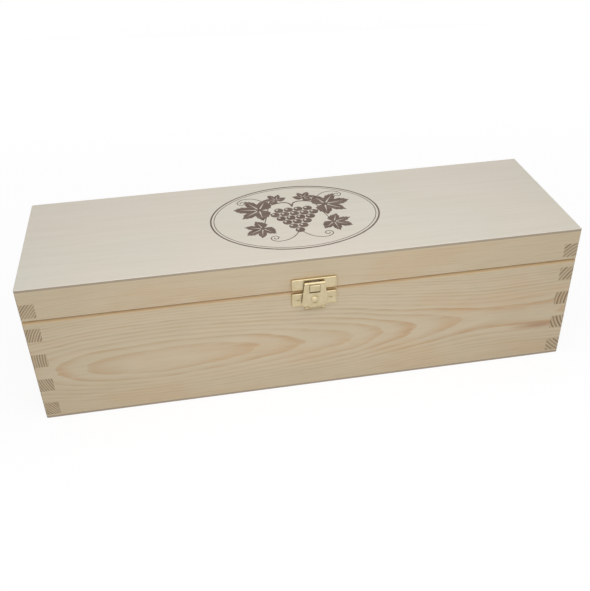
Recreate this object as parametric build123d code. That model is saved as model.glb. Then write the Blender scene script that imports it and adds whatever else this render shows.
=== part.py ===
from build123d import *
import os

# Wine box for one bottle: finger-jointed pine boards, a plywood top and bottom glued over
# them, a lid sawn off the finished box, two butt hinges behind and a pressed latch in front.
# Millimetres. X runs along the box, the latch faces -Y and +Z is up. The origin is the
# middle of the underside. A depth, as in front(depth), is measured outwards from the front.

# Box
box_length = 350.0
box_width = 108.0
board = 9.5  # thickness of the pine boards
panel = 3.0  # thickness of the plywood
body_height = 73.6  # boards below the saw cut
lid_height = 19.6  # boards above the saw cut
lid_gap = 0.3  # between the sawn edges of the closed box
saw_kerf = 2.2  # height lost to the saw and to sanding
finger = 9.75  # height of one finger of the corner joints
corner_ease = 0.6  # sanded off the upright corners
edge_ease = 0.4  # sanded off the sawn edges and the outer edges of the panels

# Latch: the two plates are shallow pans pressed from sheet, with a raised rim
latch_x = 1.7  # the latch sits a little right of the middle
sheet = 0.7
plate_width = 28.7
plate_depth = 1.8
plate_corner = 0.7  # cut off the corners
plate_round = 0.5
rim_width = 0.8
rim_height = 0.25
keeper_height = 7.9
keeper_rise = 1.0  # from the lid's sawn edge up to the keeper
base_height = 9.5
base_drop = 1.05  # from the body's sawn edge down to the base plate

# Nose: a tongue cut from the keeper, bent out through the lever's window and back
nose_width = 6.2
nose_height = 5.6
nose_ramp = 1.0  # height in which it comes out of the keeper
nose_lean = 0.25  # its face leans out this far towards the tip
nose_proud = 0.5  # how far its tip stands in front of the lever
nose_return = 1.6  # the ledge from the tip back towards the keeper
lance_gap = 0.3  # beside and above the tongue, where it was cut
tail_drop = 1.05  # the tongue's root hangs this far below the lid's sawn edge
tail_leg = 1.7  # each leg beside the tongue
slot_rim = 1.2  # left above the slot that the tongue came out of
prong_width = 3.0
prong_length = 5.0  # the keeper's two prongs, driven into the lid
prong_gap = 0.05

# Lever
lever_gap = 0.9  # between the plates and the lever
lever_top_width = 12.8
lever_foot_width = 17.3
lever_foot_round = 2.3
window_gap = 0.3  # round the nose, and over its ledge
lip_radius = 0.9  # rolled lip along the top
lip_rise = 0.95  # from the window's top up to the lip's middle
dimple_width = 4.8
dimple_height = 0.8
dimple_rise = 4.9  # from the foot of the blade up to the dimple's centre

# Latch hinge
latch_knuckle = 1.2  # outer radius
latch_pin = 0.55  # radius
latch_pin_gap = 0.05
latch_knuckle_gap = 0.2  # between neighbouring knuckles
lever_knuckle_width = 8.0
latch_hinge_width = 12.6
knuckle_rise = 0.1  # from the knuckles up to the base plate
foot_rise = 0.5  # from the knuckles up to the foot of the blade

# Latch screws
latch_screw_spacing = 20.6
latch_screw_head = 1.6  # radius
latch_screw_shank = 0.75  # radius
latch_blind_wood = 3.0  # left between a latch screw's point and the inside of the box

# Lid hinges
hinge_inset = 60.0  # from each end of the box to the middle of a hinge
hinge_length = 30.0
leaf = 0.9  # thickness
leaf_height = 11.0  # from the pin to the leaf's far edge
leaf_corner = 1.5
knuckle = 1.9  # outer radius
knuckle_count = 3
knuckle_gap = 0.2
knuckle_stand_off = 0.1  # between the knuckles and the wood
hinge_pin = 0.9  # radius
hinge_pin_gap = 0.05
hinge_screw_spacing = 18.0
hinge_screw_head = 2.0  # radius
hinge_screw_shank = 1.1  # radius
blind_wood = 1.5  # left between a hinge screw's point and the inside of the box

# Screws
screw_gap = 0.05  # round a screw in its hole

# Places that follow from the sizes above
half_length = box_length / 2
half_width = box_width / 2
body_top = panel + body_height
lid_bottom = body_top + lid_gap
lid_top = lid_bottom + lid_height
box_top = lid_top + panel

keeper_bottom = lid_bottom + keeper_rise
keeper_top = keeper_bottom + keeper_height
base_top = body_top - base_drop
base_bottom = base_top - base_height
screw_seat = plate_depth - rim_height
latch_screw_length = screw_seat + board - latch_blind_wood

lever_back = plate_depth + lever_gap
lever_front = lever_back + sheet
latch_axis_depth = lever_front - latch_knuckle
latch_axis_z = base_bottom - knuckle_rise - latch_knuckle
blade_foot = latch_axis_z + latch_knuckle + foot_rise

tail_bottom = lid_bottom - tail_drop
nose_root = tail_bottom + sheet
nose_top = nose_root + nose_height
nose_tip = lever_front + nose_proud
slot_width = nose_width + 2 * lance_gap
slot_top = keeper_top - slot_rim
window_width = nose_width + 2 * window_gap
window_bottom = nose_root - window_gap
window_top = nose_top + window_gap
lip_z = window_top + lip_rise

hinge_axis_y = half_width + knuckle_stand_off + knuckle
hinge_axis_z = (body_top + lid_bottom) / 2
hinge_screw_length = leaf + board - blind_wood
hinge_screw_reach = (leaf_height + knuckle + knuckle_gap) / 2  # from the pin to the screws


def front(depth):
    return -half_width - depth


def slab(x, y, z):
    """A rectangular block between pairs of limits."""
    limits = [sorted(pair) for pair in (x, y, z)]
    centre = [(low + high) / 2 for low, high in limits]
    size = [high - low for low, high in limits]
    return Pos(*centre) * Box(*size)


def across(centre, width):
    return centre - width / 2, centre + width / 2


def rod(radius, x, y, z):
    """A round bar along X between two ends."""
    return Pos(sum(x) / 2, y, z) * Rot(0, 90, 0) * Cylinder(radius, x[1] - x[0])


def side_section(outline, x):
    """A section drawn in Y and Z, carried along X between two ends."""
    face = Plane.YZ.offset(x[0]) * outline
    return extrude(face, x[1] - x[0])


def carcass(z, eased):
    """The sanded outside of the box between two heights; one of the two rims is eased."""
    block = slab((-half_length, half_length), (-half_width, half_width), z)
    block = chamfer(block.edges().filter_by(Axis.Z), corner_ease)
    rim = block.faces().filter_by(Axis.Z).sort_by(Axis.Z)[eased].edges()
    return chamfer(rim, edge_ease)


# Boards and panels


def end_board_fingers(z, lost):
    """Heights where the end boards' fingers reach the front, with some height lost below."""
    spans = []
    foot = panel - lost
    while foot < z[1]:
        low, high = max(foot, z[0]), min(foot + finger, z[1])
        if low < high:
            spans.append((low, high))
        foot += 2 * finger
    return spans


def between(spans, z):
    """The heights that the spans leave free."""
    marks = [z[0], *(mark for span in spans for mark in span), z[1]]
    pairs = zip(marks[::2], marks[1::2])
    return [(low, high) for low, high in pairs if low < high]


def boards(z, lost, eased):
    """Front, back, left and right board of the body or the lid, finger-jointed."""
    outside = carcass(z, eased)
    end_spans = end_board_fingers(z, lost)
    long_spans = between(end_spans, z)
    inner_x, inner_y = half_length - board, half_width - board
    made = []
    for side in (-1, 1):
        y = (side * half_width, side * inner_y)
        long_board = slab((-inner_x, inner_x), y, z)
        for end in (-1, 1):
            for span in long_spans:
                long_board += slab((end * half_length, end * inner_x), y, span)
        made.append(long_board & outside)
    for end in (-1, 1):
        x = (end * half_length, end * inner_x)
        end_board = slab(x, (-inner_y, inner_y), z)
        for side in (-1, 1):
            for span in end_spans:
                end_board += slab(x, (side * half_width, side * inner_y), span)
        made.append(end_board & outside)
    return made


# Screws


def screw_shape(head, shank, length, gap=0.0):
    """Countersunk screw with its head's face at the origin, pointing down; or its hole."""
    outline = Polyline(
        (0, 0),
        (head + gap, 0),
        (shank + gap, shank - head),
        (shank + gap, -length - gap),
        (0, -length - gap),
        close=True,
    )
    return revolve(Plane.XZ * make_face(outline), Axis.Z)


def facing_front(x, depth, z):
    return Pos(x, front(depth), z) * Rot(90, 0, 0)


def facing_back(x, depth, z):
    return Pos(x, half_width + depth, z) * Rot(-90, 0, 0)


# Latch


def cushion(width, z, depth, corner, rounding):
    """A block standing off the front, with its corners cut and its face rounded off."""
    block = slab(across(latch_x, width), (front(0), front(depth)), z)
    block = chamfer(block.edges().filter_by(Axis.Y), corner)
    return fillet(block.faces().sort_by(Axis.Y)[0].edges(), rounding)


def pressed_plate(z):
    """A pan of sheet with a rim raised round its face."""
    low, high = z
    pan = cushion(plate_width, z, plate_depth, plate_corner, plate_round)
    inner_width = plate_width - 2 * sheet
    inner_y = (front(0), front(screw_seat - sheet))
    pan -= slab(across(latch_x, inner_width), inner_y, (low + sheet, high - sheet))
    panel_width = plate_width - 2 * rim_width
    panel_z = (low + rim_width, high - rim_width)
    recess = slab(across(latch_x, panel_width), (front(screw_seat), front(2 * plate_depth)), panel_z)
    return pan - recess


def prong(end, gap=0.0):
    """One of the keeper's two prongs, or the slit it was driven into."""
    middle = (keeper_bottom + keeper_top) / 2
    half = prong_width / 2 + gap
    tip = -half_width + prong_length + gap
    outline = Polyline(
        (front(0), middle - half),
        (-half_width + prong_length / 2, middle - half),
        (tip, middle),
        (-half_width + prong_length / 2, middle + half),
        (front(0), middle + half),
        close=True,
    )
    outer = plate_width / 2 + gap
    inner = plate_width / 2 - sheet - gap
    x = sorted((latch_x + end * outer, latch_x + end * inner))
    return side_section(make_face(outline), x)


def nose():
    """The tongue: out along the ramp, up the face, over the tip and back along the ledge."""
    back = screw_seat - sheet
    path = Polyline(
        (front(back), tail_bottom),
        (front(back), nose_root),
        (front(nose_tip - sheet - nose_lean), nose_root + nose_ramp),
        (front(nose_tip - sheet), nose_top - sheet),
        (front(nose_tip - nose_return), nose_top - sheet),
    )
    strip = make_face(offset(path, sheet, side=Side.LEFT))
    return side_section(strip, across(latch_x, nose_width))


def keeper_plate():
    """The plate on the lid, with the tongue's two legs and root hanging below it."""
    plate = pressed_plate((keeper_bottom, keeper_top))
    tail_width = slot_width + 2 * tail_leg
    tail_y = (front(screw_seat - sheet), front(screw_seat))
    plate += slab(across(latch_x, tail_width), tail_y, (tail_bottom, keeper_bottom + rim_width))
    slot_z = (nose_root, slot_top)
    plate -= slab(across(latch_x, slot_width), (front(0), front(2 * plate_depth)), slot_z)
    plate += nose()
    for end in (-1, 1):
        plate += prong(end)
    return plate


def latch_bore():
    reach = across(latch_x, 2 * latch_hinge_width)
    return rod(latch_pin + latch_pin_gap, reach, front(latch_axis_depth), latch_axis_z)


def base_plate():
    """The plate on the body; two straps from its foot curl round the pin."""
    plate = pressed_plate((base_bottom, base_top))
    strap_back = latch_axis_depth - latch_knuckle
    strap_y = (front(strap_back), front(strap_back + sheet))
    inner = lever_knuckle_width / 2 + latch_knuckle_gap
    outer = latch_hinge_width / 2
    for end in (-1, 1):
        x = sorted((latch_x + end * inner, latch_x + end * outer))
        plate += rod(latch_knuckle, x, front(latch_axis_depth), latch_axis_z)
        plate += slab(x, strap_y, (latch_axis_z, base_bottom + sheet))
    plate -= latch_bore()
    for place in base_screw_places():
        plate -= place * screw_shape(
            latch_screw_head, latch_screw_shank, latch_screw_length, screw_gap
        )
    return plate


def base_screw_places():
    z = (base_bottom + base_top) / 2
    return [facing_front(x, screw_seat, z) for x in across(latch_x, latch_screw_spacing)]


def dimple():
    """A low dome pressed out of the blade, sunk into it as far as the middle of the sheet."""
    ball = (dimple_width**2 / 4 + dimple_height**2) / (2 * dimple_height)
    crest = lever_front + dimple_height
    centre_z = blade_foot + dimple_rise
    dome = Pos(latch_x, front(crest - ball), centre_z) * Sphere(ball)
    reach = (front(lever_front - sheet / 2), front(crest + sheet))
    return dome & slab(across(latch_x, 2 * dimple_width), reach, across(centre_z, 2 * dimple_width))


def lever():
    """Tapered blade with a window, a rolled lip, a dimple and the middle knuckle."""
    top, foot = lever_top_width / 2, lever_foot_width / 2
    outline = make_face(
        Polyline((-foot, blade_foot), (foot, blade_foot), (top, lip_z), (-top, lip_z), close=True)
    )
    corners = outline.vertices().sort_by(Axis.Y)
    outline = fillet(corners[:2], lever_foot_round)
    blade_plane = Plane((latch_x, front(lever_back), 0), x_dir=(1, 0, 0), z_dir=(0, -1, 0))
    blade = extrude(blade_plane * outline, sheet)
    window_y = (front(lever_back - sheet), front(lever_front + sheet))
    blade -= slab(across(latch_x, window_width), window_y, (window_bottom, window_top))

    lip_x, lip_y = across(latch_x, lever_top_width), front(lever_front)
    blade += rod(lip_radius, lip_x, lip_y, lip_z)
    blade -= rod(lip_radius - sheet, lip_x, lip_y, lip_z)

    knuckle_x = across(latch_x, lever_knuckle_width)
    blade += rod(latch_knuckle, knuckle_x, front(latch_axis_depth), latch_axis_z)
    neck_z = (latch_axis_z, blade_foot + sheet)
    blade += slab(knuckle_x, (front(lever_back), front(lever_front)), neck_z)
    blade -= latch_bore()
    return blade + dimple()


# Lid hinges


def hinge_knuckles(x):
    """The knuckles' ends along X; every second one belongs to the lid."""
    low, high = across(x, hinge_length)
    pitch = (high - low + knuckle_gap) / knuckle_count
    starts = [low + number * pitch for number in range(knuckle_count)]
    return [(start, start + pitch - knuckle_gap) for start in starts]


def hinge_leaf(x, up):
    """Body leaf (up = -1) or lid leaf (up = 1) of the hinge at x."""
    own = hinge_knuckles(x)[(1 + up) // 2 :: 2]
    other = hinge_knuckles(x)[(1 - up) // 2 :: 2]
    far = hinge_axis_z + up * leaf_height
    y = (half_width, half_width + leaf)
    plate = slab(across(x, hinge_length), y, (hinge_axis_z, far))
    outer = plate.edges().filter_by(Axis.Y).sort_by(Axis.Z)
    plate = fillet(outer[:2] if up < 0 else outer[-2:], leaf_corner)
    for low, high in other:
        notch_z = (hinge_axis_z, hinge_axis_z + up * (knuckle + knuckle_gap))
        plate -= slab((low - knuckle_gap, high + knuckle_gap), y, notch_z)
    for ends in own:
        plate += rod(knuckle, ends, hinge_axis_y, hinge_axis_z)
    plate -= rod(hinge_pin + hinge_pin_gap, across(x, 2 * hinge_length), hinge_axis_y, hinge_axis_z)
    for place in hinge_screw_places(x, up):
        plate -= place * hinge_screw_hole()
    return plate


def hinge_screw_places(x, up):
    z = hinge_axis_z + up * hinge_screw_reach
    return [facing_back(each, leaf, z) for each in across(x, hinge_screw_spacing)]


def hinge_screw_hole():
    return screw_shape(hinge_screw_head, hinge_screw_shank, hinge_screw_length, screw_gap)


# The whole box

parts = {}
body_z, lid_z = (panel, body_top), (lid_bottom, lid_top)
names = ("front_board", "back_board", "left_board", "right_board")
for group, z, lost, eased in (("body", body_z, 0.0, -1), ("lid", lid_z, saw_kerf - lid_gap, 0)):
    for name, made in zip(names, boards(z, lost, eased)):
        parts[f"{group}_{name}"] = made
parts["bottom_panel"] = carcass((0, panel), 0)
parts["lid_top_panel"] = carcass((lid_top, box_top), -1)

parts["latch_keeper_plate"] = keeper_plate()
parts["latch_base_plate"] = base_plate()
parts["latch_lever"] = lever()
parts["latch_pin"] = rod(
    latch_pin, across(latch_x, latch_hinge_width), front(latch_axis_depth), latch_axis_z
)
latch_screw = screw_shape(latch_screw_head, latch_screw_shank, latch_screw_length)
parts["latch_base_screws"] = Compound([place * latch_screw for place in base_screw_places()])

for end in (-1, 1):
    parts["lid_front_board"] -= prong(end, prong_gap)
for place in base_screw_places():
    parts["body_front_board"] -= place * screw_shape(
        latch_screw_head, latch_screw_shank, latch_screw_length, screw_gap
    )

hinge_screw = screw_shape(hinge_screw_head, hinge_screw_shank, hinge_screw_length)
for side, x in zip(("left", "right"), across(0, box_length - 2 * hinge_inset)):
    for group, up in (("body", -1), ("lid", 1)):
        places = hinge_screw_places(x, up)
        parts[f"hinge_{side}_{group}_leaf"] = hinge_leaf(x, up)
        parts[f"hinge_{side}_{group}_screws"] = Compound([place * hinge_screw for place in places])
        for place in places:
            parts[f"{group}_back_board"] -= place * hinge_screw_hole()
    parts[f"hinge_{side}_pin"] = rod(hinge_pin, across(x, hinge_length), hinge_axis_y, hinge_axis_z)

os.makedirs("parts", exist_ok=True)
for node, shape in parts.items():
    export_step(shape, f"parts/{node}.step")
    print(node, "volume", round(shape.volume, 1))
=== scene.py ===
from math import cos, pi, radians, sin

import bpy
from mathutils import Matrix, Vector


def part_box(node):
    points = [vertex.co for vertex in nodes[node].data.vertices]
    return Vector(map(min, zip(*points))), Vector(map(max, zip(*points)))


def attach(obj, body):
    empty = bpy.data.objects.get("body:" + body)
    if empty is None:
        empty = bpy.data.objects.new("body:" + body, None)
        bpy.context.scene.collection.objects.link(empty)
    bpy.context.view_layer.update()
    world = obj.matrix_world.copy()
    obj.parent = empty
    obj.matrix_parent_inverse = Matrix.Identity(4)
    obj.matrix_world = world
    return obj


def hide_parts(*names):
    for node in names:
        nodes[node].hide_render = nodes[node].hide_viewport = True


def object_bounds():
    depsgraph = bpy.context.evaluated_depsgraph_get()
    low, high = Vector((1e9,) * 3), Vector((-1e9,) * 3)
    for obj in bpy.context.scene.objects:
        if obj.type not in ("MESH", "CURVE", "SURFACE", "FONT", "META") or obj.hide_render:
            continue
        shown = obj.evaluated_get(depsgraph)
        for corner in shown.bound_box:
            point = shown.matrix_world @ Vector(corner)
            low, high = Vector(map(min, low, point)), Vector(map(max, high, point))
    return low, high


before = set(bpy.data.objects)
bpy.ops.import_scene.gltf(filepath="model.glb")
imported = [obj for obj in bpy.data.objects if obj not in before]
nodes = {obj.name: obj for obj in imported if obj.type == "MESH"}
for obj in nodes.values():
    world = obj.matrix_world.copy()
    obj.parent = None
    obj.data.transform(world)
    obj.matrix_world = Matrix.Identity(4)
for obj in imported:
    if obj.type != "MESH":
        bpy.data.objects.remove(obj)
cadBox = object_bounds()
scene = bpy.context.scene
mm = 0.001
print("frame loaded:", len(nodes), "nodes")

# Places that the materials and the added pieces share, in millimetres, read from the frame.
boxHigh = cadBox[1] / mm
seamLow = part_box("body_front_board")[1].z / mm
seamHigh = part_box("lid_front_board")[0].z / mm
sawLine = (seamLow + seamHigh) / 2
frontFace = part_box("body_front_board")[0].y / mm
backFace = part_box("body_back_board")[1].y / mm
endFace = boxHigh.x


# Materials

def linear(hexCode):
    # sRGB hex to the linear values that the shaders work in
    channels = [int(hexCode[i:i + 2], 16) / 255 for i in (1, 3, 5)]
    return [c / 12.92 if c <= 0.04045 else ((c + 0.055) / 1.055) ** 2.4 for c in channels] + [1.0]


def newMaterial(name):
    material = bpy.data.materials.new(name)
    material.use_nodes = True
    material.node_tree.nodes.clear()
    return material


def addNode(material, kind, inputs=None, **settings):
    # one node with its settings; an input is a value or another node's output
    # a Mix node takes its two numbers at 2 and 3 and its two colours at 6 and 7
    node = material.node_tree.nodes.new(kind)
    for name, value in settings.items():
        setattr(node, name, value)
    for socket, value in (inputs or {}).items():
        if isinstance(value, bpy.types.NodeSocket):
            material.node_tree.links.new(value, node.inputs[socket])
        else:
            node.inputs[socket].default_value = value
    return node


def setStops(node, stops):
    # colour ramp stops: (position, hex colour or grey value)
    elements = node.color_ramp.elements
    while len(elements) < len(stops):
        elements.new(1.0)
    for element, (position, colour) in zip(elements, stops):
        element.position = position
        element.color = linear(colour) if isinstance(colour, str) else [colour] * 3 + [1.0]


def patternScale(size, millimetre):
    # for a pattern of this length and width in mm, on coordinates in which a mm is this long
    along, across = (length * millimetre for length in size)
    return (1 / along, 1 / across, 1 / across)


# Each board is cut from a log: its rings lie round a pith line that runs along the grain, and the
# figure on its faces is where those rings come out. Lengths in millimetres.
boardFigures = {
    "front": {
        "turn": 0.0,                             # grain along the box
        "pith": (0.0, frontFace + 50.6, 37.0),
        "ring": 1.15,                            # growth in a year
        "wander": 1.1,                           # how far the log strays from straight
        "drift": [                               # rings further out, at places along the grain
            (-175, 2.5), (-161, 1.88), (-138, 0.88), (-92, 0.08), (-38, 0.88), (-5, 1.88), (25, 2.88),
            (43, 3.88), (66, 4.88), (98, 5.88), (120, 6.3), (150, 6.3), (175, 6.0)],
        "seed": 1.0,
        "clear": (11.0, 27.0),                   # rings show best this far under and over the pith
        "resin": {"middle": (157.0, 26.5), "reach": (22.0, 3.2), "colour": "#AC8262", "share": 0.7,
                  "core": 0.2},
    },
    "back": {
        "turn": 0.0,
        "pith": (0.0, backFace - 44.0, 52.0),
        "ring": 1.25,
        "wander": 1.8,
        "drift": [(-175, 7.0), (-90, 5.0), (0, 3.2), (70, 1.5), (120, 0.6), (175, 1.6)],
        "seed": 2.0,
        "clear": (16.0, 24.0),
    },
    "left": {
        "turn": -90.0,                           # grain across the box
        "pith": (-endFace + 52.0, 0.0, 45.0),
        "ring": 1.5,
        "wander": 1.2,
        "drift": [(-60, 0.6), (-10, 0.2), (60, 1.6)],
        "seed": 3.0,
        "clear": (20.0, 25.0),
    },
    "right": {
        "turn": -90.0,
        "pith": (endFace + 27.0, 0.0, 42.0),
        "ring": 2.3,
        "wander": 1.0,
        "drift": [(-60, 0.8), (0, 1.6), (60, 0.4)],
        "seed": 4.0,
        "clear": (18.0, 28.0),
    },
}

pine = {
    "early": "#D1C2A7",
    "late": "#C1AB8B",
    "blush": "#C49C74",          # late wood where a ring lies flat in the face
    "blushReach": 24.0,          # mm from the middle of the figure
    "season": [(0.0, 0.0), (0.32, 0.05), (0.58, 0.42), (0.84, 1.0), (0.95, 0.85), (1.0, 0.0)],
    "weakestYear": 0.35,         # its late wood, as a share of the strongest year's
    "plainReach": 15.0,          # mm over which the rings outside the figure run together
    "plainShare": 0.5,           # how much of them is left there
    "plainLate": 0.3,            # and how dark they are on the whole
    "endEarly": "#C9B699",
    "endLate": "#7A6953",
    "endSeason": [(0.0, 0.0), (0.35, 0.05), (0.6, 0.75), (0.85, 1.0), (0.95, 0.7), (1.0, 0.0)],
    "weakestEndYear": 0.55,
    "endFacing": (0.45, 0.9),    # how far a face looks along the grain where that begins and is full
    "driftRange": 180.0,         # mm along the grain that the drift curves span
    "driftMost": 10.0,           # rings
    "wanderSize": (125.0, 33.33),  # mm along and across the grain, as all sizes here
    "wanderApart": 7.3,          # keeps the boards' noise apart
    "tremble": 0.15,             # mm that a ring's line strays over a short way
    "trembleSize": (20.0, 3.333),
    "trembleApart": 3.1,
    "fading": {"from": 0.35, "to": 0.6, "least": 0.55},      # late wood pales in places
    "fibreSize": (25.0, 0.909),  # real fibres are some 3 x 0.03 mm, too fine to show, so drawn coarser
    "fibreRough": 0.78,
    "fibreTones": [(0.28, 0.84), (0.5, 1.0), (0.75, 1.06)],
    "fibreShare": 0.6,
    "cloudFiner": 2.3,           # the clouds of tint are finer than the wander
    "cloudTints": [(0.3, "#FFF6EE"), (0.5, "#FFFFFF"), (0.72, "#FAFAF6")],
    "cloudShare": 0.8,
    "relief": 0.06,              # mm that the brushed grain stands proud
    "reliefShare": 0.35,
    "roughness": 0.62,
    "specular": 0.3,
}

sawCut = {
    "seamShade": "#B38B58",            # painted shade of the seam's gap on the wood beside it; stops are mm over the cut, and how much shows
    "seamShadeStops": [(-2.16, 0.0), (-1.28, 0.32), (-0.56, 0.7), (0.48, 0.7), (0.8, 0.0)],
    "freshWoodAndHighlight": "#E8C793",          # paler, warmer band under the seam: fresh-cut wood and a painted highlight where the rim catches light
    "freshWoodAndHighlightStops": [(-2.56, 0.0), (-1.84, 0.4), (-1.12, 0.4), (-0.4, 0.0)],
    "band": 4.0,                 # mm either side of the cut that the stops span
    "skin": 0.6,                 # mm under the outer faces that it reaches
    "patches": {"from": 0.35, "to": 0.65, "least": 0.45},
}


def insideLog(material, place, figure):
    # places in mm from the pith, X along the grain; the log isn't straight, so they stray
    angle = radians(figure["turn"])
    pith = Matrix.Rotation(angle, 3, "Z") @ Vector(figure["pith"])
    log = addNode(material, "ShaderNodeMapping", {
        "Vector": place.outputs["Object"], "Scale": (1 / mm,) * 3, "Rotation": (0, 0, angle),
        "Location": (0, -pith.y, -pith.z)})
    slow = addNode(material, "ShaderNodeMapping", {
        "Vector": log.outputs[0], "Scale": patternScale(pine["wanderSize"], 1),
        "Location": (figure["seed"] * pine["wanderApart"], 0, 0)})
    wander = addNode(material, "ShaderNodeTexNoise", {
        "Vector": slow.outputs[0], "Scale": 1.0, "Detail": 2.0})
    quick = addNode(material, "ShaderNodeMapping", {
        "Vector": log.outputs[0], "Scale": patternScale(pine["trembleSize"], 1),
        "Location": (figure["seed"] * pine["trembleApart"], 0, 0)})
    tremble = addNode(material, "ShaderNodeTexNoise", {
        "Vector": quick.outputs[0], "Scale": 1.0, "Detail": 1.0})
    strayed = [log.outputs[0]]
    # noise runs half either way of 0.5, so twice the most is what it is multiplied by
    for noise, most in ((wander, figure["wander"]), (tremble, pine["tremble"])):
        centred = addNode(material, "ShaderNodeVectorMath", {
            0: noise.outputs["Color"], 1: (0.5, 0.5, 0.5)}, operation="SUBTRACT")
        moved = addNode(material, "ShaderNodeVectorMath", {
            0: centred.outputs[0], 1: (2 * most,) * 3, 2: strayed[-1]}, operation="MULTIPLY_ADD")
        strayed.append(moved.outputs[0])
    split = addNode(material, "ShaderNodeSeparateXYZ", {0: strayed[2]})
    return slow, strayed[1], tremble, split


def ringNumber(material, split, figure):
    # rings between the pith and the face, more or fewer of them along the grain
    reach, most = pine["driftRange"], pine["driftMost"]
    along = addNode(material, "ShaderNodeMapRange", {
        "Value": split.outputs["X"], "From Min": -reach, "From Max": reach})
    drift = addNode(material, "ShaderNodeFloatCurve", {"Value": along.outputs[0]})
    curve = drift.mapping.curves[0]
    stops = [((x + reach) / (2 * reach), rings / most) for x, rings in figure["drift"]]
    for stop in stops[1:-1]:
        curve.points.new(*stop)
    curve.points[0].location = stops[0]
    curve.points[-1].location = stops[-1]
    drift.mapping.update()
    flat = addNode(material, "ShaderNodeCombineXYZ", {"Y": split.outputs["Y"], "Z": split.outputs["Z"]})
    radius = addNode(material, "ShaderNodeVectorMath", {0: flat.outputs[0]}, operation="LENGTH")
    rings = addNode(material, "ShaderNodeMath", {
        0: radius.outputs["Value"], 1: figure["ring"]}, operation="DIVIDE")
    return addNode(material, "ShaderNodeMath", {
        0: drift.outputs[0], 1: most, 2: rings.outputs[0]}, operation="MULTIPLY_ADD")


def lateWood(material, number, seasonStops, weakest):
    # dark late wood builds up over the ring and stops sharply at winter, some years more than others
    year = addNode(material, "ShaderNodeMath", {0: number.outputs[0]}, operation="FLOOR")
    luck = addNode(material, "ShaderNodeTexWhiteNoise", {"W": year.outputs[0]}, noise_dimensions="1D")
    strength = addNode(material, "ShaderNodeMapRange", {
        "Value": luck.outputs["Value"], "To Min": weakest, "To Max": 1.0})
    phase = addNode(material, "ShaderNodeMath", {0: number.outputs[0]}, operation="FRACT")
    season = addNode(material, "ShaderNodeValToRGB", {"Fac": phase.outputs[0]})
    setStops(season, seasonStops)
    return addNode(material, "ShaderNodeMath", {
        0: season.outputs["Color"], 1: strength.outputs[0]}, operation="MULTIPLY")


def faceFigure(material, figure, number, split, tremble):
    # late wood on the face: paler in places, and run together away from the figure's middle
    late = lateWood(material, number, pine["season"], pine["weakestYear"])
    fading = pine["fading"]
    paled = addNode(material, "ShaderNodeMapRange", {
        "Value": tremble.outputs["Fac"], "From Min": fading["from"], "From Max": fading["to"],
        "To Min": fading["least"], "To Max": 1.0})
    ringed = addNode(material, "ShaderNodeMath", {
        0: late.outputs[0], 1: paled.outputs[0]}, operation="MULTIPLY")
    reach = pine["plainReach"]
    clearUnder, clearOver = figure["clear"]
    over = addNode(material, "ShaderNodeMapRange", {
        "Value": split.outputs["Z"], "From Min": clearOver, "From Max": clearOver + reach,
        "To Min": 1.0, "To Max": pine["plainShare"]})
    under = addNode(material, "ShaderNodeMapRange", {
        "Value": split.outputs["Z"], "From Min": -clearUnder - reach, "From Max": -clearUnder,
        "To Min": pine["plainShare"], "To Max": 1.0})
    clear = addNode(material, "ShaderNodeMath", {
        0: over.outputs[0], 1: under.outputs[0]}, operation="MULTIPLY")
    return addNode(material, "ShaderNodeMix", {
        0: clear.outputs[0], 2: pine["plainLate"], 3: ringed.outputs[0]}, data_type="FLOAT")


def resinStreak(material, place, wooden, end, resin):
    # a resin streak on the face, darker and redder
    (x, z), (long, high) = resin["middle"], resin["reach"]
    spread = addNode(material, "ShaderNodeMapping", {
        "Vector": place.outputs["Object"], "Scale": (1 / mm / long, 0, 1 / mm / high),
        "Location": (-x / long, 0, -z / high)})
    off = addNode(material, "ShaderNodeVectorMath", {0: spread.outputs[0]}, operation="LENGTH")
    strength = addNode(material, "ShaderNodeMapRange", {
        "Value": off.outputs["Value"], "From Min": resin["core"], "From Max": 1.0,
        "To Min": resin["share"], "To Max": 0.0})
    onFace = addNode(material, "ShaderNodeMath", {0: 1.0, 1: end.outputs[0]}, operation="SUBTRACT")
    shown = addNode(material, "ShaderNodeMath", {
        0: strength.outputs[0], 1: onFace.outputs[0]}, operation="MULTIPLY")
    return addNode(material, "ShaderNodeMix", {
        "Factor": shown.outputs[0], 6: wooden.outputs[2], 7: linear(resin["colour"])},
        data_type="RGBA")


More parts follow.
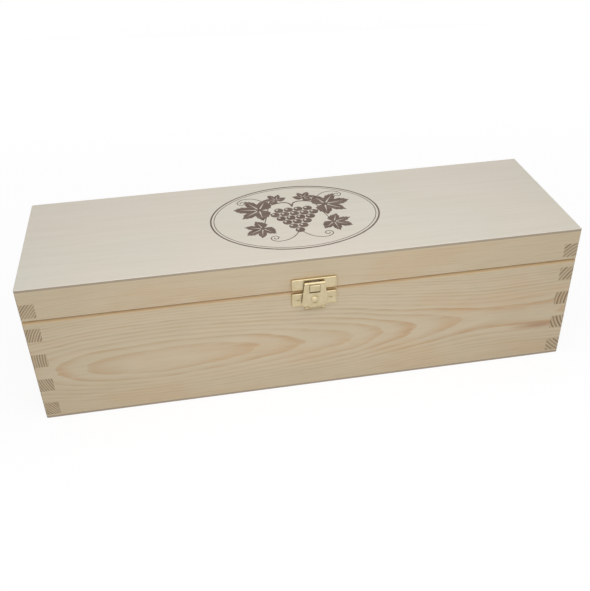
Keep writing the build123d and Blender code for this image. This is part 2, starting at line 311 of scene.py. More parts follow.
def sawSeamShadeAndHighlight(material, place, wooden, cloud):
    # painted shade along the outer rims of the saw cut, with a paler band under them that is part
    # fresh-cut wood and part painted highlight
    where = addNode(material, "ShaderNodeSeparateXYZ", {0: place.outputs["Object"]})
    skin = sawCut["skin"]
    outside = []
    for axis, face in (("X", endFace), ("Y", backFace)):
        fromMiddle = addNode(material, "ShaderNodeMath", {0: where.outputs[axis]}, operation="ABSOLUTE")
        outside.append(addNode(material, "ShaderNodeMapRange", {
            "Value": fromMiddle.outputs[0], "From Min": (face - skin) * mm,
            "From Max": (face - skin / 2) * mm}))
    onSkin = addNode(material, "ShaderNodeMath", {
        0: outside[0].outputs[0], 1: outside[1].outputs[0]}, operation="MAXIMUM")
    band = sawCut["band"]
    fromSaw = addNode(material, "ShaderNodeMapRange", {
        "Value": where.outputs["Z"], "From Min": (sawLine - band) * mm,
        "From Max": (sawLine + band) * mm})
    patches = sawCut["patches"]
    uneven = addNode(material, "ShaderNodeMapRange", {
        "Value": cloud.outputs["Fac"], "From Min": patches["from"], "From Max": patches["to"],
        "To Min": patches["least"], "To Max": 1.0})
    patchy = addNode(material, "ShaderNodeMath", {
        0: uneven.outputs[0], 1: onSkin.outputs[0]}, operation="MULTIPLY")
    tinted = wooden
    # first the paler band, part fresh wood and part painted highlight, then the painted shade along the
    # seam
    for colour, spread in (("freshWoodAndHighlight", patchy), ("seamShade", onSkin)):
        strength = addNode(material, "ShaderNodeValToRGB", {"Fac": fromSaw.outputs[0]})
        setStops(strength, [((height + band) / (2 * band), share)
                            for height, share in sawCut[colour + "Stops"]])
        shown = addNode(material, "ShaderNodeMath", {
            0: strength.outputs["Color"], 1: spread.outputs[0]}, operation="MULTIPLY")
        tinted = addNode(material, "ShaderNodeMix", {
            "Factor": shown.outputs[0], 6: tinted.outputs[2], 7: linear(sawCut[colour])},
            data_type="RGBA")
    return tinted


def pineBoard(name, figure):
    # planed and sanded pine, unfinished: matt, pale, with soft rings and fine fibres
    material = newMaterial("pine_sanded_" + name)
    place = addNode(material, "ShaderNodeTexCoord")
    slow, wandering, tremble, split = insideLog(material, place, figure)
    number = ringNumber(material, split, figure)
    late = faceFigure(material, figure, number, split, tremble)
    endLate = lateWood(material, number, pine["endSeason"], pine["weakestEndYear"])

    # end grain shows where the face looks along the grain
    grainAxis = (1, 0, 0) if figure["turn"] == 0.0 else (0, 1, 0)
    facing = addNode(material, "ShaderNodeVectorMath", {
        0: place.outputs["Normal"], 1: grainAxis}, operation="DOT_PRODUCT")
    across = addNode(material, "ShaderNodeMath", {0: facing.outputs["Value"]}, operation="ABSOLUTE")
    end = addNode(material, "ShaderNodeMapRange", {
        "Value": across.outputs[0], "From Min": pine["endFacing"][0], "From Max": pine["endFacing"][1]})

    # ring colours
    aside = addNode(material, "ShaderNodeMath", {0: split.outputs["Z"]}, operation="ABSOLUTE")
    blush = addNode(material, "ShaderNodeMapRange", {
        "Value": aside.outputs[0], "From Max": pine["blushReach"], "To Min": 1.0, "To Max": 0.0})
    lateColour = addNode(material, "ShaderNodeMix", {
        "Factor": blush.outputs[0], 6: linear(pine["late"]), 7: linear(pine["blush"])},
        data_type="RGBA")
    face = addNode(material, "ShaderNodeMix", {
        "Factor": late.outputs[0], 6: linear(pine["early"]), 7: lateColour.outputs[2]},
        data_type="RGBA")
    endFaceColour = addNode(material, "ShaderNodeMix", {
        "Factor": endLate.outputs[0], 6: linear(pine["endEarly"]), 7: linear(pine["endLate"])},
        data_type="RGBA")
    wood = addNode(material, "ShaderNodeMix", {
        "Factor": end.outputs[0], 6: face.outputs[2], 7: endFaceColour.outputs[2]},
        data_type="RGBA")

    # fibres: long fine streaks, and specks of them on end grain; then clouds of tint
    stretched = addNode(material, "ShaderNodeMapping", {
        "Vector": wandering, "Scale": patternScale(pine["fibreSize"], 1),
        "Location": (figure["seed"], 0, 0)})
    fibres = addNode(material, "ShaderNodeTexNoise", {
        "Vector": stretched.outputs[0], "Scale": 1.0, "Detail": 6.0, "Roughness": pine["fibreRough"]})
    fibreTone = addNode(material, "ShaderNodeValToRGB", {"Fac": fibres.outputs["Fac"]})
    setStops(fibreTone, pine["fibreTones"])
    fibred = addNode(material, "ShaderNodeMix", {
        "Factor": pine["fibreShare"], 6: wood.outputs[2], 7: fibreTone.outputs["Color"]},
        data_type="RGBA", blend_type="MULTIPLY")
    cloud = addNode(material, "ShaderNodeTexNoise", {
        "Vector": slow.outputs[0], "Scale": pine["cloudFiner"], "Detail": 2.0})
    cloudTint = addNode(material, "ShaderNodeValToRGB", {"Fac": cloud.outputs["Fac"]})
    setStops(cloudTint, pine["cloudTints"])
    wooden = addNode(material, "ShaderNodeMix", {
        "Factor": pine["cloudShare"], 6: fibred.outputs[2], 7: cloudTint.outputs["Color"]},
        data_type="RGBA", blend_type="MULTIPLY")
    if "resin" in figure:
        wooden = resinStreak(material, place, wooden, end, figure["resin"])
    finished = sawSeamShadeAndHighlight(material, place, wooden, cloud)

    relief = addNode(material, "ShaderNodeMath", {
        0: late.outputs[0], 1: fibres.outputs["Fac"]}, operation="ADD")
    bump = addNode(material, "ShaderNodeBump", {
        "Height": relief.outputs[0], "Strength": pine["reliefShare"], "Distance": pine["relief"] * mm})
    shader = addNode(material, "ShaderNodeBsdfPrincipled", {
        "Base Color": finished.outputs[2], "Roughness": pine["roughness"],
        "Specular IOR Level": pine["specular"], "Normal": bump.outputs[0]})
    addNode(material, "ShaderNodeOutputMaterial", {"Surface": shader.outputs[0]})
    return material


plywood = {
    "face": "#E4DED3",
    "streak": "#E0DACE",
    "faceAt": 0.62,              # noise levels of the two
    "streakAt": 0.3,
    "grainSize": (71.43, 3.846),  # mm along and across, for the wide soft grain of peeled veneer
    "grainRough": 0.55,
    "grainBend": 0.25,
    "patchSize": 111.1,          # mm
    "patchTints": [(0.3, "#FFFBF7"), (0.7, "#FAFCF8")],
    "inner": "#CDBC9E",
    "coreFrom": 0.4,             # mm under the outer face
    "coreTo": 1.8,
    "plyBlend": 0.15,
    "edgeFacing": (0.9, 0.6),    # how far a face looks up where the plies begin and are full
    "relief": 0.05,              # mm
    "reliefShare": 0.2,
    "roughness": 0.6,
    "specular": 0.3,
}
plyPanels = {                    # the middle ply shows its end grain at the edges, darker
    "top": {"node": "lid_top_panel", "up": True, "core": "#AC9D89"},
    "bottom": {"node": "bottom_panel", "up": False, "core": "#AC9C8A"},
}


def plyEdge(material, place, panel):
    # the colours of the plies, by depth under the outer face
    low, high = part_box(panel["node"])
    thickness = (high.z - low.z) / mm
    outerFace, inwards = (high.z, -1.0) if panel["up"] else (low.z, 1.0)
    where = addNode(material, "ShaderNodeSeparateXYZ", {0: place.outputs["Object"]})
    depth = addNode(material, "ShaderNodeMath", {
        0: where.outputs["Z"], 1: outerFace}, operation="SUBTRACT")
    depthMm = addNode(material, "ShaderNodeMath", {
        0: depth.outputs[0], 1: inwards / mm}, operation="MULTIPLY")
    layer = addNode(material, "ShaderNodeMapRange", {
        "Value": depthMm.outputs[0], "From Min": 0.0, "From Max": thickness})
    plies = addNode(material, "ShaderNodeValToRGB", {"Fac": layer.outputs[0]})
    coreFrom, coreTo, blend = plywood["coreFrom"], plywood["coreTo"], plywood["plyBlend"]
    setStops(plies, [
        ((coreFrom - blend) / thickness, plywood["face"]), (coreFrom / thickness, panel["core"]),
        (coreTo / thickness, panel["core"]), ((coreTo + blend) / thickness, plywood["inner"])])
    return plies


def plyPanel(name, panel):
    # thin three-ply with a pale rotary-cut face: nearly even, with faint long grain
    material = newMaterial("plywood_sanded_" + name)
    place = addNode(material, "ShaderNodeTexCoord")
    stretched = addNode(material, "ShaderNodeMapping", {
        "Vector": place.outputs["Object"], "Scale": patternScale(plywood["grainSize"], mm)})
    grain = addNode(material, "ShaderNodeTexNoise", {
        "Vector": stretched.outputs[0], "Scale": 1.0, "Detail": 6.0, "Roughness": plywood["grainRough"],
        "Distortion": plywood["grainBend"]})
    grainTone = addNode(material, "ShaderNodeValToRGB", {"Fac": grain.outputs["Fac"]})
    setStops(grainTone, [
        (plywood["streakAt"], plywood["streak"]), (plywood["faceAt"], plywood["face"])])
    patches = addNode(material, "ShaderNodeTexNoise", {
        "Vector": place.outputs["Object"], "Scale": 1 / (plywood["patchSize"] * mm), "Detail": 1.0})
    patchTone = addNode(material, "ShaderNodeValToRGB", {"Fac": patches.outputs["Fac"]})
    setStops(patchTone, plywood["patchTints"])
    veneer = addNode(material, "ShaderNodeMix", {
        "Factor": 1.0, 6: grainTone.outputs["Color"], 7: patchTone.outputs["Color"]},
        data_type="RGBA", blend_type="MULTIPLY")

    normal = addNode(material, "ShaderNodeSeparateXYZ", {0: place.outputs["Normal"]})
    up = addNode(material, "ShaderNodeMath", {0: normal.outputs["Z"]}, operation="ABSOLUTE")
    edge = addNode(material, "ShaderNodeMapRange", {
        "Value": up.outputs[0], "From Min": plywood["edgeFacing"][0],
        "From Max": plywood["edgeFacing"][1]})
    plies = plyEdge(material, place, panel)
    finished = addNode(material, "ShaderNodeMix", {
        "Factor": edge.outputs[0], 6: veneer.outputs[2], 7: plies.outputs["Color"]},
        data_type="RGBA")
    bump = addNode(material, "ShaderNodeBump", {
        "Height": grain.outputs["Fac"], "Strength": plywood["reliefShare"],
        "Distance": plywood["relief"] * mm})
    shader = addNode(material, "ShaderNodeBsdfPrincipled", {
        "Base Color": finished.outputs[2], "Roughness": plywood["roughness"],
        "Specular IOR Level": plywood["specular"], "Normal": bump.outputs[0]})
    addNode(material, "ShaderNodeOutputMaterial", {"Surface": shader.outputs[0]})
    return material


brass = {
    "bright": "#CFC09E",
    "dull": "#C4B48F",
    "brightAt": 0.65,            # noise levels of the two
    "dullAt": 0.35,
    "cloudSize": 3.846,          # mm
    "roughness": 0.4,
    "clouding": 0.07,            # how much rougher and smoother the clouds are
    "gritSize": 0.4,             # mm; real grit is finer and wouldn't show
    "grit": 0.02,
    "gritShare": 0.08,
    "paintedShade": "#8E7C56",         # painted shade in the fold round the dimple and on the knuckles
    "knuckleShadeShare": 0.55,         # how much painted shade on the knuckles, where the sheet was rolled round the pin
    "knuckleShadeBlend": 0.3,          # mm
}
dimple = {
    "rise": 6.6,                 # mm from the lever's pin to the middle of the stamped dimple
    "foot": 2.5,                 # its radius where it meets the lever
    "crease": 0.55,              # mm either side of the foot
    "creaseStops": [(0.0, 0.0), (0.35, 1.0), (0.65, 1.0), (1.0, 0.0)],
    # the painted shade in the fold is stronger in some places than others, by the clouds
    "creaseShadeVariation": {"from": 0.4, "to": 0.6, "most": 0.75, "least": 0.1},
}


def creaseShade(material, place, clouds, middle):
    # painted shade in the sharp fold round the dimple, stronger in some places than others
    x, z = middle
    flat = addNode(material, "ShaderNodeMapping", {
        "Vector": place.outputs["Object"], "Scale": (1 / mm, 0, 1 / mm),
        "Location": (-x / mm, 0, -z / mm)})
    fromMiddle = addNode(material, "ShaderNodeVectorMath", {0: flat.outputs[0]}, operation="LENGTH")
    across = addNode(material, "ShaderNodeMapRange", {
        "Value": fromMiddle.outputs["Value"], "From Min": dimple["foot"] - dimple["crease"],
        "From Max": dimple["foot"] + dimple["crease"]})
    crease = addNode(material, "ShaderNodeValToRGB", {"Fac": across.outputs[0]})
    setStops(crease, dimple["creaseStops"])
    creaseShadeVariation = dimple["creaseShadeVariation"]
    creaseShadeStrength = addNode(material, "ShaderNodeMapRange", {
        "Value": clouds.outputs["Fac"], "From Min": creaseShadeVariation["from"], "From Max": creaseShadeVariation["to"],
        "To Min": creaseShadeVariation["most"], "To Max": creaseShadeVariation["least"]})
    return addNode(material, "ShaderNodeMath", {
        0: crease.outputs["Color"], 1: creaseShadeStrength.outputs[0]}, operation="MULTIPLY")


def knuckleShade(material, place, top):
    # painted shade on the latch's knuckles, which lie under this height
    where = addNode(material, "ShaderNodeSeparateXYZ", {0: place.outputs["Object"]})
    return addNode(material, "ShaderNodeMapRange", {
        "Value": where.outputs["Z"], "From Min": top - brass["knuckleShadeBlend"] * mm, "From Max": top,
        "To Min": brass["knuckleShadeShare"], "To Max": 0.0})


def platedBrass(name, dimpleMiddle=None, knuckleTop=None):
    # steel pressed from sheet and flash-plated with pale brass: soft gloss with slight clouding
    material = newMaterial("brass_plated_" + name)
    place = addNode(material, "ShaderNodeTexCoord")
    clouds = addNode(material, "ShaderNodeTexNoise", {
        "Vector": place.outputs["Object"], "Scale": 1 / (brass["cloudSize"] * mm), "Detail": 3.0})
    tone = addNode(material, "ShaderNodeValToRGB", {"Fac": clouds.outputs["Fac"]})
    setStops(tone, [(brass["dullAt"], brass["dull"]), (brass["brightAt"], brass["bright"])])
    colour = tone.outputs["Color"]
    paintedShade = []
    if dimpleMiddle:
        paintedShade.append(creaseShade(material, place, clouds, dimpleMiddle))
    if knuckleTop:
        paintedShade.append(knuckleShade(material, place, knuckleTop))
    # painted shade over the sheet's colour, in the dimple's fold and on the knuckles
    for share in paintedShade:
        colour = addNode(material, "ShaderNodeMix", {
            "Factor": share.outputs[0], 6: colour, 7: linear(brass["paintedShade"])},
            data_type="RGBA").outputs[2]
    polish = addNode(material, "ShaderNodeMapRange", {
        "Value": clouds.outputs["Fac"], "To Min": brass["roughness"] + brass["clouding"],
        "To Max": brass["roughness"] - brass["clouding"]})
    grit = addNode(material, "ShaderNodeTexNoise", {
        "Vector": place.outputs["Object"], "Scale": 1 / (brass["gritSize"] * mm), "Detail": 2.0})
    bump = addNode(material, "ShaderNodeBump", {
        "Height": grit.outputs["Fac"], "Strength": brass["gritShare"], "Distance": brass["grit"] * mm})
    shader = addNode(material, "ShaderNodeBsdfPrincipled", {
        "Base Color": colour, "Metallic": 1.0, "Roughness": polish.outputs[0],
        "Normal": bump.outputs[0]})
    addNode(material, "ShaderNodeOutputMaterial", {"Surface": shader.outputs[0]})
    return material


burnt = {
    "char": "#73625A",
    "scorch": "#8E7E72",
    "charAt": 0.35,              # noise levels of the two
    "scorchAt": 0.7,
    "grainSize": (16.67, 1.111),  # mm; the veneer's pores, drawn coarser than they are
    "roughness": 0.9,
    "specular": 0.1,
}


def burntWood(name):
    # plywood scorched by a laser: brown, dead matt, paler where the grain resisted
    material = newMaterial("plywood_laser_burnt_" + name)
    place = addNode(material, "ShaderNodeTexCoord")
    stretched = addNode(material, "ShaderNodeMapping", {
        "Vector": place.outputs["Object"], "Scale": patternScale(burnt["grainSize"], mm)})
    grain = addNode(material, "ShaderNodeTexNoise", {
        "Vector": stretched.outputs[0], "Scale": 1.0, "Detail": 4.0})
    tone = addNode(material, "ShaderNodeValToRGB", {"Fac": grain.outputs["Fac"]})
    setStops(tone, [(burnt["charAt"], burnt["char"]), (burnt["scorchAt"], burnt["scorch"])])
    shader = addNode(material, "ShaderNodeBsdfPrincipled", {
        "Base Color": tone.outputs["Color"], "Roughness": burnt["roughness"],
        "Specular IOR Level": burnt["specular"]})
    addNode(material, "ShaderNodeOutputMaterial", {"Surface": shader.outputs[0]})
    return material


def giveMaterial(target, material):
    target.data.materials.clear()
    target.data.materials.append(material)


boardMaterials = {side: pineBoard(side, figure) for side, figure in boardFigures.items()}
for side, material in boardMaterials.items():
    for group in ("body", "lid"):      # the lid was sawn off the same boards
        giveMaterial(nodes[f"{group}_{side}_board"], material)
for name, panel in plyPanels.items():
    giveMaterial(nodes[panel["node"]], plyPanel(name, panel))
sheetBrass = platedBrass("sheet")
for name, node in nodes.items():
    if name.startswith(("latch", "hinge")):
        giveMaterial(node, sheetBrass)
knuckleWall = 0.7                # mm from the latch's pin to the outside of its knuckles
pinLow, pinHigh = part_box("latch_pin")
knuckleTop = pinHigh.z + knuckleWall * mm
dimpleMiddle = ((pinLow.x + pinHigh.x) / 2, (pinLow.z + pinHigh.z) / 2 + dimple["rise"] * mm)
# the base plate and lever get painted shade on their knuckles, the lever also round its dimple
giveMaterial(nodes["latch_base_plate"], platedBrass("base", knuckleTop=knuckleTop))
giveMaterial(nodes["latch_lever"], platedBrass("lever", dimpleMiddle, knuckleTop))
print("materials:", len(bpy.data.materials))


# Helpers for modelling

def deselectAll():
    bpy.ops.object.select_all(action="DESELECT")


def applyModifiers(piece):
    bpy.context.view_layer.objects.active = piece
    for modifier in list(piece.modifiers):
        bpy.ops.object.modifier_apply(modifier=modifier.name)


def settle(piece):
    # moves an object's place, turn and scale into its mesh
    deselectAll()
    piece.select_set(True)
    bpy.context.view_layer.objects.active = piece
    bpy.ops.object.transform_apply(location=True, rotation=True, scale=True)


def copyTo(piece, place, turn=0.0, size=1.0):
    # a copy with its own mesh, placed on the drawing plane
    twin = piece.copy()
    twin.data = piece.data.copy()
    scene.collection.objects.link(twin)
    twin.location = (place[0], place[1], 0)
    twin.rotation_euler = (0, 0, radians(turn))
    twin.scale = (size, size, 1)
    settle(twin)
    return twin


def asMesh(curve):
    drawn = bpy.data.objects.new("drawn", curve)
    scene.collection.objects.link(drawn)
    deselectAll()
    drawn.select_set(True)
    bpy.context.view_layer.objects.active = drawn
    bpy.ops.object.convert(target="MESH")
    return bpy.context.object


def joinAs(name, pieces):
    deselectAll()
    for piece in pieces:
        piece.select_set(True)
    bpy.context.view_layer.objects.active = pieces[0]
    bpy.ops.object.join()
    pieces[0].name = name
    pieces[0].data.name = name
    return pieces[0]


# Ornament burnt into the middle of the lid: a bunch of grapes with vine leaves and tendrils in an
# oval of two lines. Drawn flat round the origin in millimetres, then laid on the lid.

ornament = {
    "centre": (0.0, 1.0),
    "depth": 0.12,               # thickness, most of it inside the lid
    "layer": 0.0005,             # between shapes, so that no two faces coincide
    "proud": 0.03,               # mm over the lid
    "ovals": [((113.0, 86.0), 1.1), ((108.2, 81.2), 0.5)],       # length and width, then line
    "ovalCorners": 160,
    "grape": 3.1,                # radius
    "grapeCorners": 28,
    "shine": 0.85,               # radius of the bare spot on a grape
    "shinePlace": (-1.1, 1.1),
    "shineCorners": 12,
    "grapePitch": 6.5,
    "grapeRows": [4, 5, 4, 3, 2, 1],
    "grapeTop": 9.0,
    "leafPlaces": [              # x, y, turn and size, drawn on both sides
        (22.5, 12.5, -80.0, 17.5), (23.5, -13.0, -122.0, 13.0), (9.5, 24.5, -30.0, 9.0)],
    "leafEdge": [                # degrees from the tip and reach, round one half
        (0, 1.0), (7, 0.86), (9, 0.9), (15, 0.74), (18, 0.78), (26, 0.52), (34, 0.66), (36, 0.72),
        (43, 0.76), (46, 0.84), (50, 0.95), (55, 0.8), (58, 0.83), (64, 0.68), (67, 0.71), (76, 0.46),
        (84, 0.58), (87, 0.64), (94, 0.68), (97, 0.76), (104, 0.86), (110, 0.72), (113, 0.75),
        (122, 0.64), (126, 0.68), (136, 0.56), (140, 0.6), (152, 0.48), (158, 0.5), (168, 0.3),
        (176, 0.12)],
    "veins": [(0, 0.84), (50, 0.78), (-50, 0.78), (104, 0.68), (-104, 0.68)],
    "veinFrom": 0.11,
    "vein": 0.03,                # half the width of a vein at its foot
    "strokes": [                 # drawn on both sides
        {"points": [(0, 13), (0.5, 19), (6, 21.5), (15, 18), (22.5, 12.5)], "width": 1.4},
        {"points": [(15, 18), (18, 8), (19.5, -2), (23.5, -13)], "width": 0.8},
        {"points": [(15, 18), (20, 27), (27, 31.5), (34, 29)], "width": 0.8,
         "curl": ((33, 24.5), 72, -468, 3.6)},
        {"points": [(0, -19), (4, -27), (10, -31), (17, -31)], "width": 0.8,
         "curl": ((17, -26.5), -81, 468, 3.6)},
    ],
    "curlSteps": 16,
    "curlIn": 0.8,               # how much of a curl's reach it loses
    "lineSides": 1,              # bevel steps round a line
    "lineSteps": 4,              # pieces between two points of a line
    "lineOrder": 4,              # how smoothly it passes them
}


def oval(centre, size, corners):
    steps = [2 * pi * step / corners for step in range(corners)]
    return [(centre[0] + size[0] / 2 * cos(t), centre[1] + size[1] / 2 * sin(t)) for t in steps]


def fromTip(angle, reach):
    return reach * sin(radians(angle)), reach * cos(radians(angle))


def drawFilled(outlines):
    # a flat shape, solid between its outlines
    drawing = bpy.data.curves.new("outlines", "CURVE")
    drawing.dimensions = "2D"
    drawing.fill_mode = "BOTH"
    drawing.extrude = ornament["depth"] / 2
    for outline in outlines:
        spline = drawing.splines.new("POLY")
        spline.points.add(len(outline) - 1)
        spline.use_cyclic_u = True
        for point, (x, y) in zip(spline.points, outline):
            point.co = (x, y, 0, 1)
    return asMesh(drawing)


def drawLine(points, width):
    # a burnt line through points
    drawing = bpy.data.curves.new("line", "CURVE")
    drawing.dimensions = "3D"
    drawing.bevel_depth = width / 2
    drawing.bevel_resolution = ornament["lineSides"]
    drawing.resolution_u = ornament["lineSteps"]
    drawing.use_fill_caps = True
    spline = drawing.splines.new("NURBS")
    spline.points.add(len(points) - 1)
    for point, (x, y) in zip(spline.points, points):
        point.co = (x, y, 0, 1)
    spline.order_u = ornament["lineOrder"]
    spline.use_endpoint_u = True
    line = asMesh(drawing)
    line.scale.z = ornament["depth"] / width
    settle(line)
    return line


def drawLeaf():
    # a vine leaf of unit size, its tip along Y and its veins left bare
    half = ornament["leafEdge"]
    edge = [fromTip(angle, reach) for angle, reach in half]
    edge += [fromTip(-angle, reach) for angle, reach in reversed(half[1:])]
    veins = []
    for angle, reach in ornament["veins"]:
        x, y = fromTip(angle, ornament["veinFrom"])
        across, along = fromTip(angle + 90, ornament["vein"])
        veins.append([(x - across, y - along), fromTip(angle, reach), (x + across, y + along)])
    return drawFilled([edge, *veins])


def curl(centre, start, sweep, reach):
    # a tendril's end winds in round a centre; angles in degrees
    points = []
    for step in range(ornament["curlSteps"] + 1):
        share = step / ornament["curlSteps"]
        angle = radians(start + share * sweep)
        radius = reach * (1 - ornament["curlIn"] * share)
        points.append((centre[0] + radius * cos(angle), centre[1] + radius * sin(angle)))
    return points


def burnOrnament():
    shapes = []
    middle = (0, 0)
    corners = ornament["ovalCorners"]
    for (long, short), line in ornament["ovals"]:
        inner = (long - 2 * line, short - 2 * line)
        shapes.append(drawFilled([oval(middle, (long, short), corners), oval(middle, inner, corners)]))
    grapeSize, shineSize = (2 * ornament["grape"],) * 2, (2 * ornament["shine"],) * 2
    grape = drawFilled([
        oval(middle, grapeSize, ornament["grapeCorners"]),
        oval(ornament["shinePlace"], shineSize, ornament["shineCorners"])])
    pitch = ornament["grapePitch"]
    for row, count in enumerate(ornament["grapeRows"]):
        y = ornament["grapeTop"] - row * pitch * sin(pi / 3)
        for number in range(count):
            shapes.append(copyTo(grape, ((number - (count - 1) / 2) * pitch, y)))
    bpy.data.objects.remove(grape)
    leaf = drawLeaf()
    for x, y, turn, size in ornament["leafPlaces"]:
        shapes.append(copyTo(leaf, (x, y), turn, size))
        shapes.append(copyTo(leaf, (-x, y), -turn, size))
    bpy.data.objects.remove(leaf)
    for side in (1, -1):
        for stroke in ornament["strokes"]:
            points = stroke["points"] + (curl(*stroke["curl"]) if "curl" in stroke else [])
            shapes.append(drawLine([(x * side, y) for x, y in points], stroke["width"]))
    for number, shape in enumerate(shapes):
        shape.location.z = number * ornament["layer"]
        settle(shape)
    burn = joinAs("burnt_vine_ornament", shapes)
    burn.scale = (mm,) * 3
    burn.location = (ornament["centre"][0] * mm, ornament["centre"][1] * mm,
                     (boxHigh.z + ornament["proud"] - ornament["depth"] / 2) * mm)
    settle(burn)
    giveMaterial(burn, burntWood("ornament"))
    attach(burn, "lid")


burnOrnament()
print("ornament done")


# Screws with a cross recess, in place of the frame's plain ones

screw = {
    "corners": 40,
    "shankShare": 0.5,           # of the head's radius
    "tip": 1.6,                  # mm
    "tipShare": 0.08,            # how wide the tip's end is left
    "recess": 1.3,               # length of the cross, in head radii
    "bar": 0.5,                  # mm, the width of its bars
    "depth": 0.7,                # mm; the bars stand out of the head by as much
}


def crossScrew(x, faceY, z, head, length, outwards):
    # outwards is the way the head looks along Y
    turn = radians(90 if outwards < 0 else -90)
    bpy.ops.mesh.primitive_circle_add(vertices=screw["corners"], radius=head, fill_type="NGON")
    made = bpy.context.object
    shank = head * screw["shankShare"]
    cone, tip = head - shank, screw["tip"] * mm      # the cone under the head is as deep as it narrows
    steps = [(cone, shank / head), (length - cone - tip, 1.0), (tip, screw["tipShare"])]
    bpy.ops.object.mode_set(mode="EDIT")
    bpy.ops.mesh.select_all(action="SELECT")
    for depth, size in steps:
        bpy.ops.mesh.extrude_region_move(TRANSFORM_OT_translate={"value": (0, 0, -depth)})
        bpy.ops.transform.resize(value=(size, size, 1))
    bpy.ops.mesh.select_all(action="SELECT")
    bpy.ops.mesh.normals_make_consistent(inside=False)
    bpy.ops.object.mode_set(mode="OBJECT")
    bars = []
    for quarter in (0, 90):
        bpy.ops.mesh.primitive_cube_add(size=1.0)
        bar = bpy.context.object
        bar.scale = (screw["recess"] * head, screw["bar"] * mm, 2 * screw["depth"] * mm)
        bar.rotation_euler.z = radians(quarter)
        settle(bar)
        bars.append(bar)
    cross = joinAs("cross", bars)
    cut = made.modifiers.new("recess", "BOOLEAN")
    cut.object = cross
    cut.solver = "EXACT"
    cut.use_self = True
    applyModifiers(made)
    bpy.data.objects.remove(cross)
    made.rotation_euler = (turn, 0, 0)
    made.location = (x, faceY, z)
    settle(made)
    return made


def replaceScrews(node, outwards):
    low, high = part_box(node)
    head = (high.z - low.z) / 2
    faceY = low.y if outwards < 0 else high.y
    pair = [crossScrew(x, faceY, (low.z + high.z) / 2, head, high.y - low.y, outwards)
            for x in (low.x + head, high.x - head)]
    made = joinAs(node + "_crossed", pair)
    giveMaterial(made, sheetBrass)
    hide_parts(node)
    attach(made, "lid" if "lid" in node else "body")


for name in sorted(nodes):
    if name.endswith("screws"):
        replaceScrews(name, -1 if name.startswith("latch") else 1)
print("screws done")


# Camera, where the photograph was taken from

view = {
    "place": (-0.07251, -0.45274, 0.34895),
    "down": 34.30,               # degrees
    "turn": -8.868,
    "roll": 1.593,
    "lens": 47.86,
    "nearest": 0.01,
    "furthest": 20.0,
}
bpy.ops.object.camera_add()
camera = bpy.context.object
camera.name = "camera"
camera.data.lens = view["lens"]
camera.data.clip_start, camera.data.clip_end = view["nearest"], view["furthest"]
camera.matrix_world = (
    Matrix.Translation(view["place"])
    @ Matrix.Rotation(radians(view["turn"]), 4, "Z")
    @ Matrix.Rotation(radians(90 - view["down"]), 4, "X")
    @ Matrix.Rotation(radians(-view["roll"]), 4, "Z")
)
scene.camera = camera
scene.view_settings.view_transform = "Standard"


# Light: a white room, a soft box over the wine box and weaker ones in front and behind, in metres

light = {
    "room": 0.37,
    "seen": 1.0,                 # how white the room looks, whatever light it gives
    "aim": (0.0, 0.0, 0.05),
    "softBoxes": {
        "overhead": {"place": (0.0, -0.13, 0.43), "size": (0.56, 0.56), "power": 1.02},
        "front": {"place": (-0.01, -0.37, 0.17), "size": (0.36, 0.36), "power": 0.31},
        "back": {"place": (0.1, 0.75, 0.13), "size": (0.9, 0.24), "power": 1.5},
    },
}
for name, softBox in light["softBoxes"].items():
    bpy.ops.object.light_add(type="AREA", location=softBox["place"])
    lamp = bpy.context.object
    lamp.name = name
    lamp.data.shape = "RECTANGLE"
    lamp.data.size, lamp.data.size_y = softBox["size"]
    lamp.data.energy = softBox["power"]
    towards = Vector(light["aim"]) - lamp.location
    lamp.rotation_euler = towards.to_track_quat("-Z", "Y").to_euler()


def whiteRays(tree):
    # 1 for rays from the camera, off gloss and through glass
    paths = addNode(tree, "ShaderNodeLightPath")
    first = addNode(tree, "ShaderNodeMath", {
        0: paths.outputs["Is Camera Ray"], 1: paths.outputs["Is Glossy Ray"]}, operation="MAXIMUM")
    both = addNode(tree, "ShaderNodeMath", {
        0: first.outputs[0], 1: paths.outputs["Is Transmission Ray"]}, operation="MAXIMUM")
    return both.outputs[0]


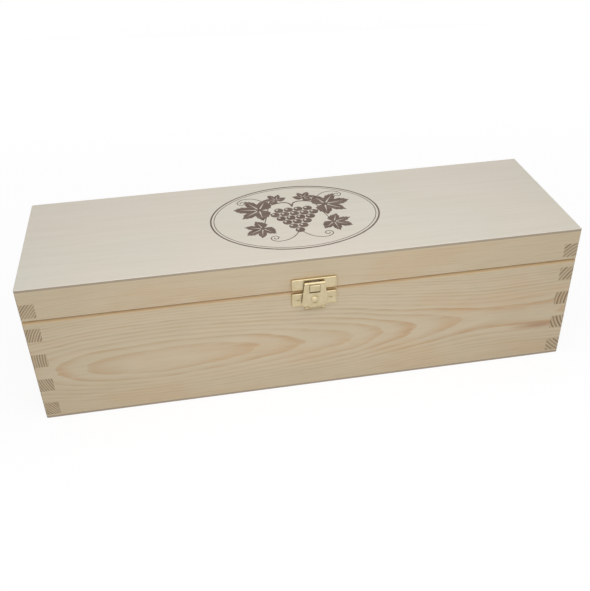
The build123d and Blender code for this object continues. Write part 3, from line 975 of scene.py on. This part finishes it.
white = (1, 1, 1, 1)
world = bpy.data.worlds.new("white_room")
scene.world = world
world.use_nodes = True
world.node_tree.nodes.clear()
roomLight = addNode(world, "ShaderNodeBackground", {"Strength": light["room"]})
seenWhite = addNode(world, "ShaderNodeBackground", {"Strength": light["seen"]})
for background in (roomLight, seenWhite):
    background.inputs["Color"].default_value = white
mixed = addNode(world, "ShaderNodeMixShader", {
    0: whiteRays(world), 1: roomLight.outputs[0], 2: seenWhite.outputs[0]})
addNode(world, "ShaderNodeOutputWorld", {"Surface": mixed.outputs[0]})

# The floor is a roll of white paper, dead matt, in metres
paperRoll = {
    "size": 6.0,
    "drop": 0.0002,              # under the box, so that the two faces don't coincide
    "grey": 0.9,
    "whiteNear": 1.05,           # how white it shows beside the box, and far from it
    "whiteFar": 1.13,
    "near": 0.2,                 # from the middle of the box
    "far": 1.1,
    "shownShare": 0.85,          # the rest takes the light, and with it the box's shadow
}
bpy.ops.mesh.primitive_plane_add(size=paperRoll["size"], location=(0, 0, -paperRoll["drop"]))
floor = bpy.context.object
floor.name = "floor"
floorMaterial = newMaterial("paper_white")
paper = addNode(floorMaterial, "ShaderNodeBsdfDiffuse", {"Color": (paperRoll["grey"],) * 3 + (1,)})
spot = addNode(floorMaterial, "ShaderNodeTexCoord")
fromBox = addNode(floorMaterial, "ShaderNodeVectorMath", {
    0: spot.outputs["Object"]}, operation="LENGTH")
whiteness = addNode(floorMaterial, "ShaderNodeMapRange", {
    "Value": fromBox.outputs["Value"], "From Min": paperRoll["near"], "From Max": paperRoll["far"],
    "To Min": paperRoll["whiteNear"], "To Max": paperRoll["whiteFar"]})
glow = addNode(floorMaterial, "ShaderNodeEmission", {"Color": white, "Strength": whiteness.outputs[0]})
shown = addNode(floorMaterial, "ShaderNodeMath", {
    0: whiteRays(floorMaterial), 1: paperRoll["shownShare"]}, operation="MULTIPLY")
blended = addNode(floorMaterial, "ShaderNodeMixShader", {
    0: shown.outputs[0], 1: paper.outputs[0], 2: glow.outputs[0]})
addNode(floorMaterial, "ShaderNodeOutputMaterial", {"Surface": blended.outputs[0]})
giveMaterial(floor, floorMaterial)
print("camera, light and floor done")
